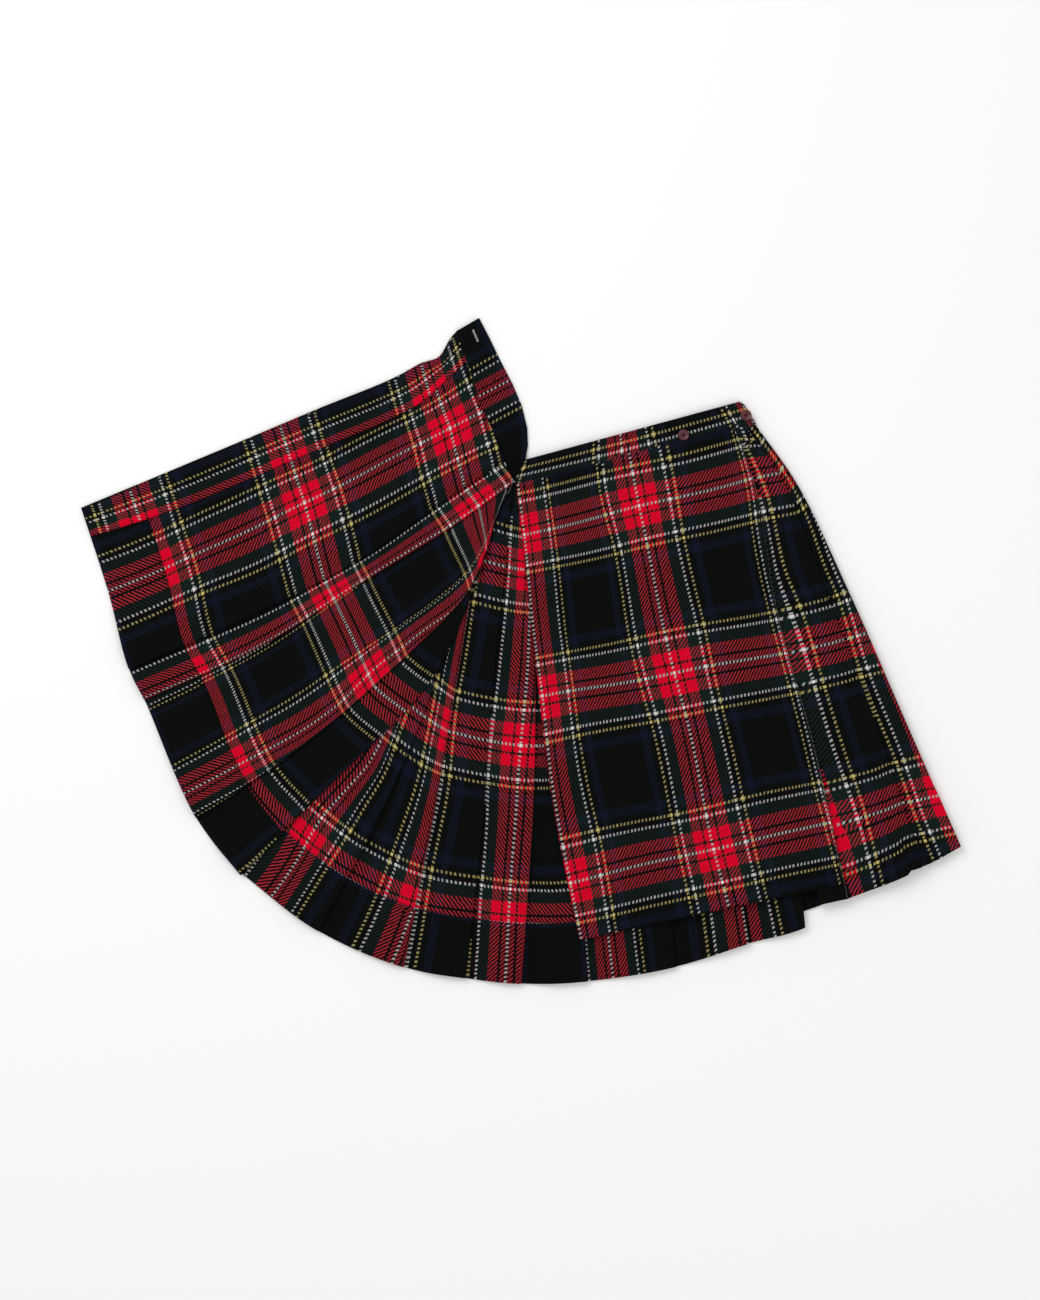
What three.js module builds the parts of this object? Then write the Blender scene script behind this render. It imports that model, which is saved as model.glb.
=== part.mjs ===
// Pleated wrap kilt skirt, laid flat with its over-apron folded open to the left.
// Millimetres, +Z up. X runs across the garment and Y from hem to waist. The floor is z = 0.
import * as THREE from "three";
import { mergeVertices } from "three/addons/utils/BufferGeometryUtils.js";

// Driving sizes
const clothThick = 1.2;
const hemThick = 2.4; // cloth turned up on itself
const hemTurnUp = 75;
const layerGap = 0.35;
const layerPitch = clothThick + layerGap; // from one pleat layer to the next
const hemPitch = hemThick + layerGap; // the same where the hem is doubled
const bandThick = 3.2;
const seamGap = 0.4;
const foldMargin = 3; // flat cloth kept on each side of a fold
const flapLift = 6.2; // how far the rolled edge lies above the floor
const flapWidth = 30; // width that lies fully raised
const flapWaistWidth = 70; // more of it near the waist
const flapRamp = 40; // width over which the flap comes down to the floor
const apronBase = 4.7; // underside of the under-apron at the waist
const apronHemBase = 8.3; // and at its hem
const buttonRadius = 7;
const buttonThick = 2.6;
const buttonHoleRadius = 0.9;
const buttonHoleOffset = 1.9;

// Stations down the cloth, as shares of the length above the turned-up hem.
const bodyStations = [0, 0.08, 0.18, 0.3, 0.43, 0.57, 0.71, 0.85, 1];
// Stations in the hem, as distances from its lower edge.
const hemStations = [hemTurnUp - 0.5, 40, 0];

const colours = { tartan: 0x2a2f2e, band: 0x1d2223, burgundy: 0x5a1220 };

// Each row is one fold or edge line: five places from waist to hem, then how deep the pleat
// behind it is at the waist and at the hem, and how far the next panel's hem hangs below it.
function line(name, waist, yoke, upper, lower, hem, waistDepth = 0, hemDepth = 0, drop = 0) {
  return { name, places: [waist, yoke, upper, lower, hem], waistDepth, hemDepth, drop };
}

const overApronLines = [
  line("front edge", [-80, 399], [-138, 352], [-259, 300], [-404, 239], [-548, 179]),
  line("middle", [-46, 299], [-116, 264], [-231, 204], [-371, 136], [-514, 74]),
  line("first pleat", [-21, 235], [-90, 192], [-199, 116], [-341, 42], [-488, -22], 8, 20),
  line("second pleat", [-12, 207], [-81, 158], [-192, 89], [-326, 5], [-469, -60], 8, 18),
  line("third pleat", [-26, 179], [-68, 106], [-138, -15], [-268, -115], [-404, -208], 5, 20),
  line("rolled edge", [-38, 151], [-55, 84], [-116, -42], [-231, -160], [-349, -279]),
];

const backLines = [
  line("left seam", [-54, 178], [-78, 104], [-135, -19], [-252, -139], [-356, -271]),
  line("pleat 1", [-38, 196], [-48, 114], [-102, -25], [-168, -191], [-252, -349], 5, 20),
  line("pleat 2", [-21, 207], [-32, 114], [-78, -35], [-115, -214], [-146, -394], 5, 8),
  line("pleat 3", [-9, 203.4], [-12, 111], [-24, -42], [-48, -225], [-69, -408], 8, 24),
  line("pleat 4", [14, 207.6], [15, 112], [19, -44], [15, -229], [1, -415], 8, 14),
  line("pleat 5", [52, 217.9], [55, 122], [61, -34], [70, -221], [84, -412], 16, 30),
  line("pleat 6", [119, 235.9], [130, 144], [149, -14], [171, -204], [194, -394], 22, 26),
  line("pleat 7", [185, 253.7], [200, 162], [225, 8], [255, -179], [285, -365], 22, 26),
  line("pleat 8", [231, 266], [250, 178], [281, 24], [319, -160], [358, -344], 18, 20, -20),
  line("right side", [287, 280.4], [336, 205], [401, 76], [471, -82], [541, -238]),
];

const underApronLines = [
  line("free edge", [-5, 209], [5, 121], [20, -21], [41, -191], [74, -360]),
  line("side pleat 1", [268, 276.6], [296, 195], [320, 51], [366, -118], [404, -289], 10, 46, 20),
  line("side pleat 2", [282, 280], [331, 205], [384, 65], [446, -100], [500, -269], 5, 20),
  line("right side", [293, 282.7], [346, 207], [408, 78], [478, -82], [549, -244]),
];

// Waistband in stations from the over-apron's end, round the back and on to the under-apron's
// end. Each has a place on its top edge, one on its seam edge, and its layer from the floor.
const bandLayer = (bandThick + layerGap) / 2;
const bandStations = [
  { top: [-51, 416], seam: [-79.6, 399.6], layer: 0 },
  { top: [-38, 391], seam: [-71, 374.7], layer: 0 },
  { top: [-25, 364], seam: [-60.5, 343.6], layer: 0 },
  { top: [-9, 333], seam: [-50, 312.4], layer: 0 },
  { top: [2, 307], seam: [-39.3, 284.8], layer: 0 },
  { top: [9, 279], seam: [-30, 260.4], layer: 0 },
  { top: [10, 257], seam: [-21.5, 238], layer: 0 },
  { top: [7, 240], seam: [-14, 221], layer: 0 },
  { top: [7.6, 238.5], seam: [-5, 211], layer: 0 },
  { top: [9, 238], seam: [6, 206.8], layer: 0 },
  { top: [30, 244], seam: [22, 209.8], layer: 0 },
  { top: [276, 312], seam: [294, 283], layer: 0 },
  { top: [276, 312], seam: [294, 283], layer: 2 },
  { top: [3, 238], seam: [-7, 208.5], layer: 2 },
];

const buttonPlaces = [[204, 269.5], [282, 294]];

function smoothStep(low, high, value) {
  const share = THREE.MathUtils.clamp((value - low) / (high - low), 0, 1);
  return share * share * (3 - 2 * share);
}

// Cloth grid to closed wall: each section is a list of upper and lower points.
function wallMesh(name, sections, material) {
  const across = sections[0].length;
  const positions = [];
  for (const side of ["upper", "lower"])
    for (const section of sections)
      for (const point of section) positions.push(...point[side].toArray());
  const half = sections.length * across;
  const at = (side, i, j) => side * half + i * across + j;
  const faces = [];
  const quad = (a, b, c, d) => faces.push(a, b, c, a, c, d);
  const last = sections.length - 1;
  for (let i = 0; i < last; i++)
    for (let j = 0; j < across - 1; j++) {
      quad(at(0, i, j), at(0, i + 1, j), at(0, i + 1, j + 1), at(0, i, j + 1));
      quad(at(1, i, j), at(1, i, j + 1), at(1, i + 1, j + 1), at(1, i + 1, j));
    }
  for (let j = 0; j < across - 1; j++) {
    quad(at(0, 0, j), at(0, 0, j + 1), at(1, 0, j + 1), at(1, 0, j));
    quad(at(0, last, j + 1), at(0, last, j), at(1, last, j), at(1, last, j + 1));
  }
  for (let i = 0; i < last; i++) {
    quad(at(0, i + 1, 0), at(0, i, 0), at(1, i, 0), at(1, i + 1, 0));
    quad(at(0, i, across - 1), at(0, i + 1, across - 1), at(1, i + 1, across - 1), at(1, i, across - 1));
  }
  const geometry = new THREE.BufferGeometry();
  geometry.setAttribute("position", new THREE.Float32BufferAttribute(positions, 3));
  geometry.setIndex(faces);
  geometry.computeVertexNormals();
  const mesh = new THREE.Mesh(geometry, material);
  mesh.name = name;
  return mesh;
}

// The stations of one panel, each a curve across it through that station's row places.
function stationCurves(lines) {
  const runs = lines.map(({ places }) => {
    const points = places.map(([x, y]) => new THREE.Vector3(x, y, 0));
    const curve = new THREE.CatmullRomCurve3(points, false, "centripetal");
    curve.arcLengthDivisions = 400;
    return { curve, length: curve.getLength() };
  });
  const shares = [
    ...bodyStations.map((share) => (length) => seamGap + share * (length - seamGap - hemTurnUp)),
    ...hemStations.map((fromHem) => (length) => length - fromHem),
  ];
  return shares.map((distance, index) => {
    const points = runs.map(({ curve, length }) => curve.getPointAt(distance(length) / length));
    const along = runs.map(({ curve, length }) => curve.getTangentAt(distance(length) / length));
    const down = index / (shares.length - 1);
    const inHem = index >= bodyStations.length;
    const curve = new THREE.CatmullRomCurve3(points, false, "centripetal");
    return { points, along, down, inHem, curve };
  });
}

// Sections of a pleated panel. A pleat turns under at its fold line, runs back to the
// inner fold and comes out again below, so each has three layers.
function pleatedSections(lines, { base, lift, hemBelow, turnUnder = 0, steps = 2 }) {
  const rowCount = lines.length;
  return stationCurves(lines).map((station) => {
    const { points, along, down, inHem, curve } = station;
    const thick = inHem ? hemThick : clothThick;
    const pitch = THREE.MathUtils.lerp(layerPitch, hemPitch, smoothStep(0.4, 0.7, down));
    const width = (row) => points[row].distanceTo(points[row + 1]);
    const section = [];
    const add = (row, share, layer, turnX, turnZ, drop = 0) => {
      const reach = THREE.MathUtils.clamp((row + share) / (rowCount - 1), 0, 1);
      const place = curve.getPoint(reach);
      const side = curve.getTangent(reach).setZ(0).normalize();
      place.addScaledVector(along[row], drop * down ** 4);
      const fromEdge = place.distanceTo(points[rowCount - 1]);
      const under = hemBelow ? hemThick - thick / 2 : thick / 2;
      place.z = base(down) + lift(fromEdge, down) + layer * pitch + under;
      const offset = side.multiplyScalar((turnX * thick) / 2).setZ((turnZ * thick) / 2);
      section.push({ upper: place.clone().add(offset), lower: place.clone().sub(offset) });
    };
    add(0, 0, 0, 0, 1);
    for (let row = 0; row < rowCount - 1; row++) {
      const from = lines[row];
      const to = lines[row + 1];
      const wide = width(row);
      const depthAt = (l) => THREE.MathUtils.lerp(l.waistDepth, l.hemDepth, down ** 1.5);
      const depth = Math.min(depthAt(to), wide - 4 * foldMargin);
      const pleated = to.hemDepth > 0;
      const start = from.hemDepth > 0 ? foldMargin / wide : 0;
      const end = pleated ? 1 - (depth + foldMargin) / wide : 1;
      const top = pleated ? 2 : 0;
      if (from.hemDepth > 0) add(row, start, 0, 0, 1, from.drop);
      for (let k = 1; k <= steps; k++) {
        const share = start + ((end - start) * k) / (steps + 1);
        const drop = from.drop * (1 - share);
        add(row, share, top * smoothStep(0, steps + 1, k), 0, 1, drop);
      }
      if (pleated) {
        add(row, end, top, 0, 1, from.drop * (1 - end));
        const fold = 1;
        const inner = 1 - depth / wide;
        add(row, fold, 2, 1, 1);
        add(row, fold, 1, 1, -1);
        add(row, inner, 1, 1, -1, to.drop);
        add(row, inner, 0, 1, 1, to.drop);
      } else if (row < rowCount - 2) add(row, 1, 0, 0, 1);
    }
    if (turnUnder > 0) {
      const row = rowCount - 2;
      add(row, 1, 0, 1, 1);
      add(row, 1, -1, 1, -1);
      add(row, 1 - turnUnder / width(row), -1, 0, -1);
    } else add(rowCount - 2, 1, 0, 0, 1);
    return section;
  });
}

function waistbandSections() {
  return bandStations.map(({ top, seam, layer }, index) => {
    const z = bandThick / 2 + layer * bandLayer;
    const before = bandStations[Math.max(index - 1, 0)];
    const after = bandStations[Math.min(index + 1, bandStations.length - 1)];
    const endFold = before.layer !== layer || after.layer !== layer;
    const turned = layer === 2 ? -1 : 1;
    const offset = new THREE.Vector3(endFold ? -bandThick / 2 : 0, 0, (turned * bandThick) / 2);
    return [seam, top].map(([x, y]) => {
      const place = new THREE.Vector3(x, y, z);
      return { upper: place.clone().add(offset), lower: place.clone().sub(offset) };
    });
  });
}

// The facing lies on the over-apron's inside along its front edge.
function facingSections() {
  const widthShare = [0.36, 0.42, 0.5, 0.5, 0.48, 0.46, 0.45, 0.44, 0.41, 0.41, 0.38, 0.34];
  const start = 0.02;
  const acrossSteps = 3;
  return stationCurves(overApronLines.slice(0, 3)).map(({ curve, inHem }, index) => {
    const bottom = (inHem ? hemThick : clothThick) + layerGap;
    return Array.from({ length: acrossSteps + 1 }, (_, k) => {
      const share = start + ((widthShare[index] - start) * k) / acrossSteps;
      const place = curve.getPoint(share / 2).setZ(bottom);
      return { upper: place.clone().setZ(bottom + clothThick), lower: place };
    });
  });
}

function button(name, [x, y], material) {
  const outline = new THREE.Shape().absarc(0, 0, buttonRadius - 0.4, 0, 2 * Math.PI);
  for (const turn of [0, 1, 2, 3]) {
    const angle = (turn + 0.5) * (Math.PI / 2);
    const hole = new THREE.Path();
    const centre = [Math.cos(angle) * buttonHoleOffset, Math.sin(angle) * buttonHoleOffset];
    hole.absarc(...centre, buttonHoleRadius + 0.4, 0, 2 * Math.PI, true);
    outline.holes.push(hole);
  }
  const shape = { depth: buttonThick - 0.8, bevelSize: 0.4, bevelThickness: 0.4, bevelSegments: 1 };
  const solid = new THREE.ExtrudeGeometry(outline, { ...shape, curveSegments: 10 });
  solid.deleteAttribute("normal");
  solid.deleteAttribute("uv");
  const geometry = mergeVertices(solid, 1e-4);
  geometry.computeVertexNormals();
  const mesh = new THREE.Mesh(geometry, material);
  mesh.name = name;
  mesh.position.set(x, y, 2 * bandThick + 2 * layerGap + 0.4);
  return mesh;
}

const tartan = new THREE.MeshStandardMaterial({ color: colours.tartan, roughness: 0.95 });
const bandCloth = new THREE.MeshStandardMaterial({ color: colours.band, roughness: 0.95 });
const burgundy = new THREE.MeshStandardMaterial({ color: colours.burgundy, roughness: 0.4 });

const flatBase = () => 0;
const noLift = () => 0;
function flapHeight(fromEdge, down) {
  const raised = flapWidth + flapWaistWidth * (1 - smoothStep(0.05, 0.35, down));
  return flapLift * (1 - smoothStep(raised, raised + flapRamp, fromEdge));
}
const apronHeight = (down) => apronBase + (apronHemBase - apronBase) * smoothStep(0.3, 0.6, down);

const overApron = pleatedSections(overApronLines, {
  base: flatBase,
  lift: flapHeight,
  hemBelow: false,
  turnUnder: 14,
  steps: 4,
});
const back = pleatedSections(backLines, { base: flatBase, lift: noLift, hemBelow: false });
const underApron = pleatedSections(underApronLines, {
  base: apronHeight,
  lift: noLift,
  hemBelow: true,
  turnUnder: 10,
  steps: 4,
});

const skirt = new THREE.Group();
skirt.add(
  wallMesh("over_apron", overApron, tartan),
  wallMesh("front_facing", facingSections(), tartan.clone()),
  wallMesh("back_pleats", back, tartan.clone()),
  wallMesh("under_apron", underApron, tartan.clone()),
  wallMesh("waistband", waistbandSections(), bandCloth),
);
buttonPlaces.forEach((place, index) => skirt.add(button("button_" + (index + 1), place, burgundy.clone())));

// The origin is the middle of the underside.
const bounds = new THREE.Box3().setFromObject(skirt);
const middle = bounds.getCenter(new THREE.Vector3());
skirt.position.set(-middle.x, -middle.y, -bounds.min.z);

export default skirt;
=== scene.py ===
import math

import bmesh
import bpy
import numpy as np
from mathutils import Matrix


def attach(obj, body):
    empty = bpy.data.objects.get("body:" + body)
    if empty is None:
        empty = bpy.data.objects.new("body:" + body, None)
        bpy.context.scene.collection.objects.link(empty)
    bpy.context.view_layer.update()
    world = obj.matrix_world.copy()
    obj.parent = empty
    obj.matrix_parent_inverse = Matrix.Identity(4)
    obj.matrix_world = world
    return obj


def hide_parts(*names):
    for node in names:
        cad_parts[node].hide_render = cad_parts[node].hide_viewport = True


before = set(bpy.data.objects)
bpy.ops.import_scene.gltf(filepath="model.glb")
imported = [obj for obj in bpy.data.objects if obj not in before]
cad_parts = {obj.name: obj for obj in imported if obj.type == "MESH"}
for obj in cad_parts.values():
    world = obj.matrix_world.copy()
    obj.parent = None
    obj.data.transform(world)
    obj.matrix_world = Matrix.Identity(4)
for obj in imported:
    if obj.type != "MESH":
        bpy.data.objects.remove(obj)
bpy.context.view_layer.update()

# Sizes are in millimetres. The tables' origin lies this far from the middle of the garment.
mm = 0.001
shift = (-1.03, -0.35)
pixel = 1.25
sett = 172.0

# The tables were read off the photo, in its pixels, around this point.
photoMiddle = (520, 651)

scene = bpy.context.scene
scene.view_settings.view_transform = "Standard"
scene.view_settings.look = "None"


def colour(rgb):
    return (rgb[0], rgb[1], rgb[2], 1.0)


def fromPhoto(px, py):
    return ((px - photoMiddle[0]) * pixel, (photoMiddle[1] - py) * pixel)


def toWorld(points):
    return [((x + shift[0]) * mm, (y + shift[1]) * mm, z * mm) for x, y, z in points]


def addObject(name, mesh, material):
    mesh.materials.append(material)
    mesh.polygons.foreach_set("use_smooth", [True] * len(mesh.polygons))
    made = bpy.data.objects.new(name, mesh)
    scene.collection.objects.link(made)
    return made


# Materials

threads = {
    "white": (0.60, 0.59, 0.57),
    "red": (0.56, 0.0018, 0.018),
    "black": (0.0032, 0.0038, 0.0037),
    "green": (0.0060, 0.0125, 0.0108),
    "yellow": (0.47, 0.39, 0.13),
    "blue": (0.0055, 0.0068, 0.0170),
    "perSett": 156,
    "stroke": 0.42,
    "strokeEdge": 9.0,
    "strokeBrightness": 0.50,
    "dashLean": 0.07,
    "wobble": 0.5,
    "wobbleScale": 34.0,
    "haze": 0.016,
    "unevenness": 0.25,
    "fuzzScale": 60.0,
    "fuzzDetail": 4.0,
    "relief": 0.5,
    "reliefHeight": 0.0003,
    "roughness": 0.95,
    "specular": 0.02,
}

# Half of the mirrored sett: how far each stripe starts from the middle of the red, in pixels.
stripes = [
    (0, "white"), (1.3, "red"), (7, "black"), (9.2, "red"), (20.5, "green"), (32, "white"),
    (34.8, "black"), (39.8, "yellow"), (42.6, "black"), (49, "blue"), (57, "black"),
]


def newMaterial(name, roughness, specular):
    # A material, its shader and three short ways of working on its nodes.
    material = bpy.data.materials.new(name)
    material.use_nodes = True
    tree = material.node_tree
    shader = tree.nodes["Principled BSDF"]
    shader.inputs["Roughness"].default_value = roughness
    shader.inputs["Specular IOR Level"].default_value = specular

    def node(kind, **settings):
        made = tree.nodes.new(kind)
        for key, value in settings.items():
            setattr(made, key, value)
        return made

    def connect(value, socket):
        if isinstance(value, bpy.types.NodeSocket):
            tree.links.new(value, socket)
        else:
            socket.default_value = value

    def calculate(operation, first, second=0.0, third=0.0):
        made = node("ShaderNodeMath", operation=operation)
        for value, socket in zip((first, second, third), made.inputs):
            connect(value, socket)
        return made.outputs[0]

    return material, shader, node, connect, calculate


def tartanMaterial(name, lean):
    # Twill tartan on the cloth map, with u along the weft and v along the warp, both in setts.
    material, shader, node, connect, calculate = newMaterial(name, threads["roughness"], threads["specular"])
    place = node("ShaderNodeUVMap", uv_map="cloth")
    parts = node("ShaderNodeSeparateXYZ")
    connect(place.outputs[0], parts.inputs[0])
    u = parts.outputs[0]
    v = parts.outputs[1]

    def stripeColour(along):
        ramp = node("ShaderNodeValToRGB")
        ramp.color_ramp.interpolation = "CONSTANT"
        points = ramp.color_ramp.elements
        while len(points) < len(stripes):
            points.new(1.0)
        for point, (start, thread) in zip(points, stripes):
            point.position = start / (sett / 2)
            point.color = colour(threads[thread])
        connect(calculate("MULTIPLY", calculate("PINGPONG", along, 0.5), 2.0), ramp.inputs[0])
        return ramp.outputs[0]

    count = threads["perSett"]
    warp = calculate("MULTIPLY", u, count)
    weft = calculate("MULTIPLY", v, count)
    warpIndex = calculate("FLOOR", warp)
    weftIndex = calculate("FLOOR", weft)
    step = calculate("ADD", warpIndex, calculate("MULTIPLY", weftIndex, lean))
    turn = calculate("FLOORED_MODULO", step, 4.0)
    warpOnTop = calculate("LESS_THAN", turn, 1.5)

    def mixColour(factor, first, second, blend="MIX"):
        made = node("ShaderNodeMix", data_type="RGBA", blend_type=blend)
        connect(factor, made.inputs["Factor"])
        connect(first, made.inputs[6])
        connect(second, made.inputs[7])
        return made.outputs[2]

    def brightness(rgb):
        made = node("ShaderNodeRGBToBW")
        connect(rgb, made.inputs[0])
        return made.outputs[0]

    weftColour = stripeColour(v)
    warpColour = stripeColour(u)
    even = mixColour(warpOnTop, weftColour, warpColour)

    # Where a bright thread crosses a dark one it shows as short slanted strokes, thinner than half.
    difference = calculate("SUBTRACT", brightness(warpColour), brightness(weftColour))
    warpBrighter = calculate("GREATER_THAN", difference, 0.0)
    bright = mixColour(warpBrighter, weftColour, warpColour)
    dark = mixColour(warpBrighter, warpColour, weftColour)
    unlike = calculate("MULTIPLY", calculate("ABSOLUTE", difference), 12.0)
    unlike = calculate("MINIMUM", unlike, 1.0)
    slanted = calculate("MULTIPLY", calculate("MULTIPLY_ADD", weft, lean, warp), 0.25)

    # The white and yellow lines are only two threads wide, so their dashes lie square to the line.
    channels = node("ShaderNodeSeparateColor")
    connect(bright, channels.inputs[0])
    thin = calculate("GREATER_THAN", channels.outputs[1], 0.1)

    def choose(factor, no, yes):
        made = node("ShaderNodeMix", data_type="FLOAT")
        connect(factor, made.inputs[0])
        connect(no, made.inputs[2])
        connect(yes, made.inputs[3])
        return made.outputs[0]

    lengthwise = choose(warpBrighter, warp, weft)
    sideways = choose(warpBrighter, weft, warp)
    square = calculate("MULTIPLY", lengthwise, 0.25)
    square = calculate("MULTIPLY_ADD", sideways, threads["dashLean"] * lean, square)
    wobble = node("ShaderNodeTexNoise", noise_dimensions="2D")
    wobble.inputs["Scale"].default_value = threads["wobbleScale"]
    connect(place.outputs[0], wobble.inputs["Vector"])
    straight = choose(thin, slanted, square)
    phase = calculate("MULTIPLY_ADD", wobble.outputs["Fac"], threads["wobble"], straight)
    fromMiddle = calculate("ABSOLUTE", calculate("SUBTRACT", calculate("FRACT", phase), 0.5))
    steep = threads["strokeEdge"]
    edge = calculate("MULTIPLY_ADD", fromMiddle, -steep, steep * threads["stroke"] / 2 + 0.5)
    stroke = calculate("MINIMUM", calculate("MAXIMUM", edge, 0.0), 1.0)
    dimmed = mixColour(1.0, bright, colour([threads["strokeBrightness"]] * 3), "MULTIPLY")
    hazed = mixColour(1.0, dimmed, colour([threads["haze"]] * 3), "ADD")
    stroked = mixColour(stroke, dark, hazed)
    woven = mixColour(unlike, even, stroked)

    # Each thread is a little lighter or darker than the next, and fuzz breaks up its edge.
    index = node("ShaderNodeCombineXYZ")
    connect(warpIndex, index.inputs[0])
    connect(weftIndex, index.inputs[1])
    speck = node("ShaderNodeTexWhiteNoise", noise_dimensions="2D")
    connect(index.outputs[0], speck.inputs["Vector"])
    fuzz = node("ShaderNodeTexNoise", noise_dimensions="2D")
    fuzz.inputs["Scale"].default_value = threads["fuzzScale"]
    fuzz.inputs["Detail"].default_value = threads["fuzzDetail"]
    connect(place.outputs[0], fuzz.inputs["Vector"])
    uneven = calculate("ADD", speck.outputs["Value"], fuzz.outputs["Fac"])
    value = calculate("MULTIPLY_ADD", uneven, threads["unevenness"], 1.0 - threads["unevenness"])
    shade = node("ShaderNodeHueSaturation")
    connect(value, shade.inputs["Value"])
    connect(woven, shade.inputs["Color"])
    connect(shade.outputs[0], shader.inputs["Base Color"])

    def roundThread(along):
        return calculate("SINE", calculate("MULTIPLY", calculate("FRACT", along), math.pi))

    bump = node("ShaderNodeBump")
    bump.inputs["Strength"].default_value = threads["relief"]
    bump.inputs["Distance"].default_value = threads["reliefHeight"]
    connect(choose(warpOnTop, roundThread(weft), roundThread(warp)), bump.inputs["Height"])
    connect(bump.outputs[0], shader.inputs["Normal"])
    return material


def plainMaterial(name, rgb, roughness, specular=0.3, grain=0.1, grainScale=900.0):
    # One colour with a fine grain, for buttons and thread.
    material, shader, node, connect, calculate = newMaterial(name, roughness, specular)
    place = node("ShaderNodeTexCoord")
    noise = node("ShaderNodeTexNoise")
    noise.inputs["Scale"].default_value = grainScale
    connect(place.outputs["Object"], noise.inputs["Vector"])
    value = calculate("MULTIPLY_ADD", noise.outputs["Fac"], 2 * grain, 1.0 - grain)
    shade = node("ShaderNodeHueSaturation")
    shade.inputs["Color"].default_value = colour(rgb)
    connect(value, shade.inputs["Value"])
    connect(shade.outputs[0], shader.inputs["Base Color"])
    return material


insideTartan = tartanMaterial("tartan_inside", 1.0)
outsideTartan = tartanMaterial("tartan_outside", -1.0)
bandTartan = tartanMaterial("tartan_band", -1.0)
print("materials are made")


# Curves

def catmullRom(points, spots):
    # Centripetal curve through points, at spots from 0 at the first to 1 at the last.
    points = np.asarray(points, float)
    knots = np.vstack([2 * points[0] - points[1], points, 2 * points[-1] - points[-2]])
    along = np.clip(spots, 0, 1) * (len(points) - 1)
    first = np.minimum(along.astype(int), len(points) - 2)
    share = (along - first)[:, None]
    a, b, c, d = (knots[first + k] for k in range(4))
    ab, bc, cd = (
        np.maximum(np.sqrt(np.linalg.norm(q - p, axis=1)), 1e-3)[:, None]
        for p, q in ((a, b), (b, c), (c, d))
    )
    leave = ((b - a) / ab - (c - a) / (ab + bc) + (c - b) / bc) * bc
    arrive = ((c - b) / bc - (d - b) / (bc + cd) + (d - c) / cd) * bc
    square = 3 * (c - b) - 2 * leave - arrive
    cube = 2 * (b - c) + leave + arrive
    return b + leave * share + square * share**2 + cube * share**3


def smoothStep(low, high, value):
    share = np.clip((value - low) / (high - low), 0, 1)
    return share * share * (3 - 2 * share)


def lerp(low, high, share):
    return low + (high - low) * share


def beyond(value, places, readings, slope):
    # Straight between readings, and on past both ends with a given slope.
    inside = np.interp(value, places, readings)
    before = np.minimum(value - places[0], 0) * slope
    after = np.maximum(value - places[-1], 0) * slope
    return inside + before + after


# The form that all the cloth shares

cloth = {
    "wall": 1.2,
    "hemWall": 2.4,
    "hemTurnUp": 75.0,
    "layerPitch": 1.55,
    "hemPitch": 2.75,
    "tuck": 2.5,
    "foldMargin": 3.0,
    "ply": 1.12,
    "hemFold": 0.6,
    "layerGap": 0.35,
    "rowPlaces": [0, 0.2, 0.4, 0.65, 1],
    "stepPlaces": [0, 0.08, 0.18, 0.3, 0.43, 0.57, 0.71, 0.85, 1],
    "seamPlaces": [0, 0.004, 0.009],
    "bodyStations": 80,
    "hemStations": 12,
    "spacing": 5.5,
    "hiddenSpacing": 16.0,
}

# Soft ridges: from x, y to x, y, then half width and height.
ridges = [
    (-110, 318, -480, 150, 26, 2.2),
    (-170, 330, -330, 268, 14, 1.6),
    (-60, 330, -150, 300, 16, 2.4),
    (-70, 290, -140, 235, 13, 2.0),
    (-40, 240, -120, 205, 10, 1.8),
    (-300, 180, -470, 110, 22, 1.8),
    (-150, 120, -300, 20, 22, 2.2),
    (-260, -20, -360, -90, 20, 2.0),
    (-75, 60, -150, -60, 16, 2.0),
    (-70, 20, -95, -140, 12, 1.6),
    (-45, -60, -100, -300, 16, 2.2),
    (-8, -80, -25, -330, 14, 1.8),
    (45, -240, 50, -385, 16, 2.0),
    (-200, -230, -270, -310, 16, 1.8),
    (70, 170, 90, -120, 22, 1.6),
    (130, 190, 190, -60, 24, 1.4),
    (200, 200, 240, 60, 20, 1.8),
    (230, -40, 290, -290, 24, 2.0),
    (120, -120, 150, -330, 24, 1.8),
    (290, 150, 330, 0, 16, 1.8),
    (360, 100, 420, -60, 18, 2.0),
    (400, -80, 450, -230, 18, 2.2),
]


def raised(x, y):
    # How far soft creases lift the cloth at a place. All layers there rise together.
    height = np.zeros_like(x)
    for x0, y0, x1, y1, wide, tall in ridges:
        dx = x1 - x0
        dy = y1 - y0
        length = math.hypot(dx, dy)
        along = ((x - x0) * dx + (y - y0) * dy) / length**2
        aside = ((x - x0) * dy - (y - y0) * dx) / length
        bend = 0.05 * length * np.sin(3.1 * along + x0)
        taper = smoothStep(-0.15, 0.3, along) * (1 - smoothStep(0.6, 1.15, along))
        height += tall * taper * np.exp(-(((aside - bend) / wide) ** 2))
    ripple = np.sin(x / 31 + 1.3 * np.sin(y / 47)) * np.sin(y / 38 + 0.9 * np.sin(x / 53))
    return height + 0.35 * (1 + ripple)


def raisedAt(x, y):
    return float(raised(np.array([float(x)]), np.array([float(y)]))[0])


# Places where cloth is drawn in: x, y, the pull in x and y, and how far round it reaches.
overApronPulls = [
    (-106, 378, 4, -9, 18),
]


def drawnIn(grid, pulls):
    for x, y, dx, dy, wide in pulls:
        near = np.exp(-(((grid[:, :, 0] - x) ** 2 + (grid[:, :, 1] - y) ** 2) / wide**2))
        grid[:, :, 0] += dx * near
        grid[:, :, 1] += dy * near


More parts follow.
